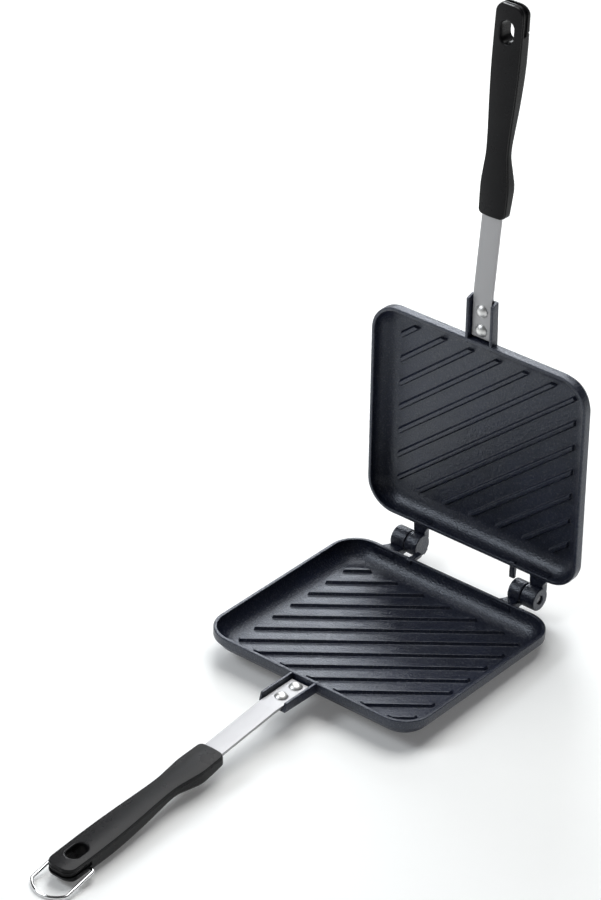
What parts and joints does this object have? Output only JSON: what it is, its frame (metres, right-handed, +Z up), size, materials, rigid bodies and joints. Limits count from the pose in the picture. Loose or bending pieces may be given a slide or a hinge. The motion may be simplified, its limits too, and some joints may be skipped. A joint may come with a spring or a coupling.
{
  "type": "stovetop sandwich iron",
  "caption": "Hinged stovetop sandwich iron: equal ribbed square pans on sideways pins, strap handles with moulded grips, and a wire bail that holds it shut.",
  "frame": {"origin": "centre of the lower casting's flat base, with the lid standing open", "axes": "+Z up from the base through the open pan, +X along the hinge, -Y along the lower handle"},
  "size_m": [0.15, 0.3801, 0.3832],
  "materials": {
    "casting": "cast aluminium with a dark satin non-stick coat, faintly speckled",
    "strap": "satin stainless steel strip",
    "rivet": "polished domed steel rivet",
    "grip": "semi-matte black heat-proof moulding",
    "pin": "plain turned steel pin",
    "wire": "bright plated steel wire"
  },
  "bodies": {
    "base": {"lower_plate": "casting", "lower_strap": "strap", "lower_inner_rivet": "rivet", "lower_outer_rivet": "rivet", "lower_grip": "grip", "lower_hinge_pin": "pin"},
    "lid": {"upper_plate": "casting", "upper_strap": "strap", "upper_inner_rivet": "rivet", "upper_outer_rivet": "rivet", "upper_grip": "grip", "upper_hinge_pin": "pin"},
    "bail": {"wire_bail": "wire"}
  },
  "joints": [
    {"name": "lid_hinge", "type": "hinge", "parent": "base", "child": "lid", "pos_m": [0, 0.0828, 0.01405], "axis": [1, 0, 0], "range_deg": [0, 88]},
    {"name": "bail_pivot", "type": "hinge", "parent": "base", "child": "bail", "pos_m": [0, -0.25528, -0.00722], "axis": [1, 0, 0], "range_deg": [-150, 45]}
  ]
}
